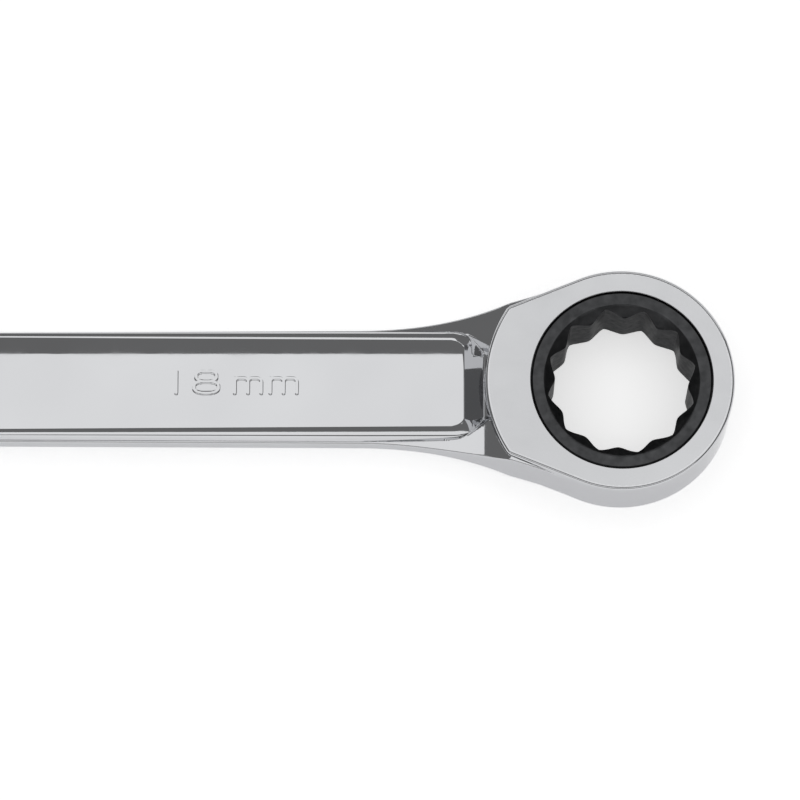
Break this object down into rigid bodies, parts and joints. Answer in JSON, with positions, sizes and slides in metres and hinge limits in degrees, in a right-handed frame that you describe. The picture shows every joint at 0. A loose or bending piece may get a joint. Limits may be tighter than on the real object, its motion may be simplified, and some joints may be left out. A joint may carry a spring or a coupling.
{
  "type": "ratcheting combination wrench",
  "caption": "Flat steel wrench with an angled open jaw at one end and a twelve-point ratchet ring at the other.",
  "frame": {"origin": "bottom centre of the whole wrench's box, as it lies flat with the marked face up", "axes": "+X from the open jaw to the ratchet head, +Z out of the marked face, +Y across the shank"},
  "size_m": [0.238, 0.038, 0.012],
  "materials": {
    "chrome": "polished chrome plate",
    "black_oxide": "black oxide on machined steel",
    "bare_steel": "ground and lightly oiled steel"
  },
  "bodies": {
    "wrench": {"wrench_body": "chrome", "pawl_spring": "bare_steel", "retaining_ring": "bare_steel"},
    "gear": {"ratchet_gear": "black_oxide"},
    "pawl": {"pawl": "bare_steel"}
  },
  "joints": [
    {"name": "gear_spin", "type": "hinge", "parent": "wrench", "child": "gear", "pos_m": [0.10279, 0, 0.006], "axis": [0, 0, 1], "continuous": true},
    {"name": "pawl_slide", "type": "slide", "parent": "wrench", "child": "pawl", "axis": [-1, 0, 0], "range_m": [0, 0.0007], "stiffness_N_per_m": 500, "springref_m": -0.001, "deforming": ["pawl_spring"]}
  ]
}
